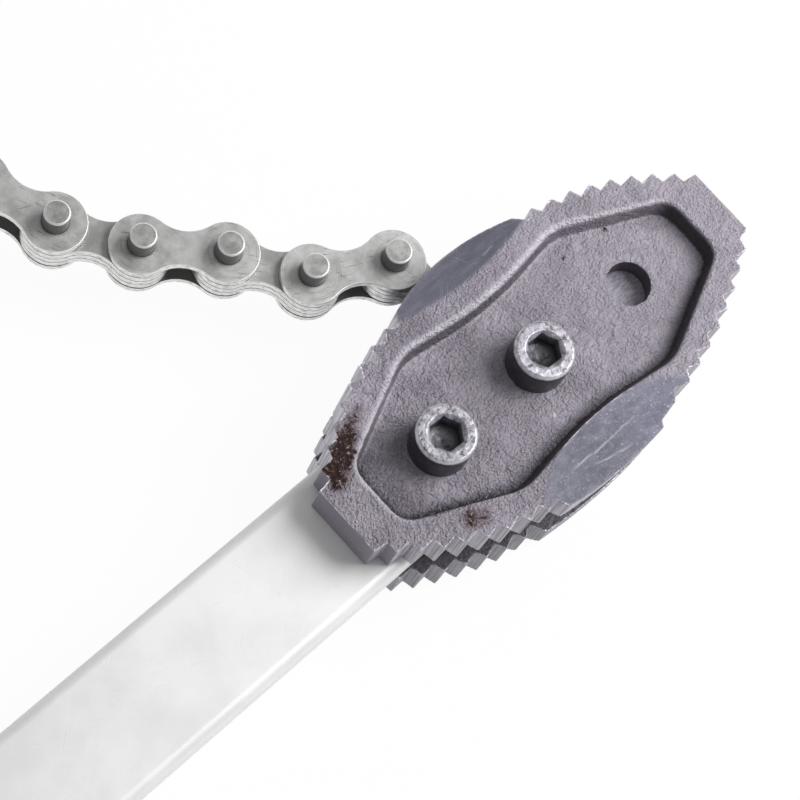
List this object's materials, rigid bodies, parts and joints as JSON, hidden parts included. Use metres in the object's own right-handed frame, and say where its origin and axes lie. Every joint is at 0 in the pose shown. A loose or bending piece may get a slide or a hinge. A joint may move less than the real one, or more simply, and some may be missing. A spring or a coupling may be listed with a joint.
{
  "type": "chain pipe wrench",
  "caption": "Double-ended chain pipe wrench: toothed cast jaws bolted on both faces of a flat bar handle, with a leaf chain anchored between them that wraps a pipe and hooks on the jaws.",
  "frame": {"origin": "mouth of the spare bolt hole on the recess floor of the front jaw", "axes": "+X along the handle to the jaw tips, +Y to the side where the chain leaves the jaws, +Z out of the front jaw along its bolt holes"},
  "size_m": [0.5175, 0.27, 0.0413],
  "materials": {
    "handle_steel": "bright rolled bar with fine scratches",
    "jaw_casting": "rough dark casting with rust spots, ground crescents",
    "screw_steel": "black oxide worn bright on top",
    "nut_steel": "black oxide",
    "inner_plate_steel": "dull steel",
    "outer_plate_steel": "dull steel with scuffs",
    "pin_steel": "turned steel with worn edges"
  },
  "bodies": {
    "wrench": {"handle": "handle_steel", "front_jaw": "jaw_casting", "rear_jaw": "jaw_casting", "jaw_screws": "screw_steel", "jaw_nuts": "nut_steel", "anchor_pin": "pin_steel"},
    "link_01": {"link_01_plates": "inner_plate_steel"},
    "link_02": {"link_02_plates": "outer_plate_steel", "link_02_pins": "pin_steel"},
    "link_03": {"link_03_plates": "inner_plate_steel"},
    "link_04": {"link_04_plates": "outer_plate_steel", "link_04_pins": "pin_steel"},
    "link_05": {"link_05_plates": "inner_plate_steel"},
    "link_06": {"link_06_plates": "outer_plate_steel", "link_06_pins": "pin_steel"},
    "link_07": {"link_07_plates": "inner_plate_steel"},
    "link_08": {"link_08_plates": "outer_plate_steel", "link_08_pins": "pin_steel"},
    "link_09": {"link_09_plates": "inner_plate_steel"},
    "link_10": {"link_10_plates": "outer_plate_steel", "link_10_pins": "pin_steel"},
    "link_11": {"link_11_plates": "inner_plate_steel"},
    "link_12": {"link_12_plates": "outer_plate_steel", "link_12_pins": "pin_steel"}
  },
  "joints": [
    {"name": "link_01_hinge", "type": "hinge", "parent": "wrench", "child": "link_01", "pos_m": [-0.0345, 0.0231, -0.0128], "axis": [0, 0, 1], "range_deg": [-35, 15]},
    {"name": "link_02_hinge", "type": "hinge", "parent": "link_01", "child": "link_02", "pos_m": [-0.04031, 0.04432, -0.0128], "axis": [0, 0, 1], "range_deg": [-20, 10]},
    {"name": "link_03_hinge", "type": "hinge", "parent": "link_02", "child": "link_03", "pos_m": [-0.05966, 0.05478, -0.0128], "axis": [0, 0, 1], "range_deg": [-17, 12]},
    {"name": "link_04_hinge", "type": "hinge", "parent": "link_03", "child": "link_04", "pos_m": [-0.07253, 0.07263, -0.0128], "axis": [0, 0, 1], "range_deg": [-17, 12]},
    {"name": "link_05_hinge", "type": "hinge", "parent": "link_04", "child": "link_05", "pos_m": [-0.0883, 0.08797, -0.0128], "axis": [0, 0, 1], "range_deg": [-17, 12]},
    {"name": "link_06_hinge", "type": "hinge", "parent": "link_05", "child": "link_06", "pos_m": [-0.10107, 0.10588, -0.0128], "axis": [0, 0, 1], "range_deg": [-17, 12]},
    {"name": "link_07_hinge", "type": "hinge", "parent": "link_06", "child": "link_07", "pos_m": [-0.10878, 0.12648, -0.0128], "axis": [0, 0, 1], "range_deg": [-17, 12]},
    {"name": "link_08_hinge", "type": "hinge", "parent": "link_07", "child": "link_08", "pos_m": [-0.11089, 0.14838, -0.0128], "axis": [0, 0, 1], "range_deg": [-17, 12]},
    {"name": "link_09_hinge", "type": "hinge", "parent": "link_08", "child": "link_09", "pos_m": [-0.10726, 0.17008, -0.0128], "axis": [0, 0, 1], "range_deg": [-17, 12]},
    {"name": "link_10_hinge", "type": "hinge", "parent": "link_09", "child": "link_10", "pos_m": [-0.09813, 0.1901, -0.0128], "axis": [0, 0, 1], "range_deg": [-17, 12]},
    {"name": "link_11_hinge", "type": "hinge", "parent": "link_10", "child": "link_11", "pos_m": [-0.08414, 0.20707, -0.0128], "axis": [0, 0, 1], "range_deg": [-17, 12]},
    {"name": "link_12_hinge", "type": "hinge", "parent": "link_11", "child": "link_12", "pos_m": [-0.06623, 0.21985, -0.0128], "axis": [0, 0, 1], "range_deg": [-17, 12]}
  ]
}
